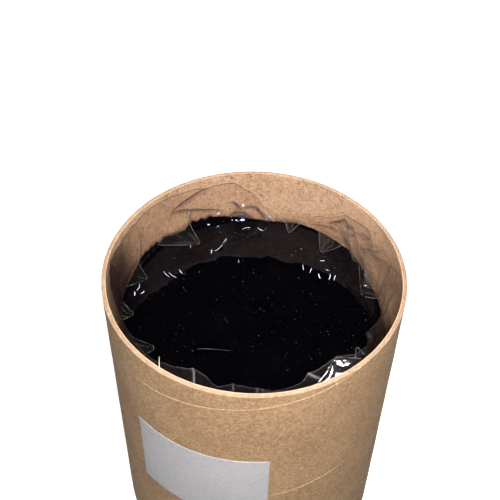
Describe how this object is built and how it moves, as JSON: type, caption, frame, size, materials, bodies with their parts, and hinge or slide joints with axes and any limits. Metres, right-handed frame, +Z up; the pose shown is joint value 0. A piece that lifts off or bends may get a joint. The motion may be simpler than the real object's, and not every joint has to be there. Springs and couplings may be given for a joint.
{
  "type": "rosin cake in a fibre drum",
  "caption": "Cast cake of black rosin in a film bag, inside an open spiral-wound kraft fibre drum with a stapled base.",
  "frame": {"origin": "centre of the drum's base, on the surface that it stands on", "axes": "+Z up along the drum's axis, towards the open rim; -Y is the side with the label's right edge, towards the viewer"},
  "size_m": [0.2102, 0.2102, 0.25],
  "materials": {
    "kraft_facing": "matte",
    "fibreboard": "matte",
    "staple_wire": "satin",
    "label_paper": "matte",
    "liner_film": "gloss",
    "black_rosin": "polished"
  },
  "bodies": {
    "drum": {"inner_ply": "kraft_facing", "wall_core": "fibreboard", "outer_ply": "kraft_facing", "base_hoop": "fibreboard", "base_disc": "fibreboard", "label": "label_paper", "staple_1": "staple_wire", "staple_2": "staple_wire", "staple_3": "staple_wire", "staple_4": "staple_wire", "staple_5": "staple_wire", "staple_6": "staple_wire", "staple_7": "staple_wire", "staple_8": "staple_wire"},
    "cake": {"rosin_cake": "black_rosin", "liner_bag": "liner_film"}
  },
  "joints": [
    {"name": "cake_lift", "type": "slide", "parent": "drum", "child": "cake", "axis": [0, 0, 1], "range_m": [0, 0.24]}
  ]
}
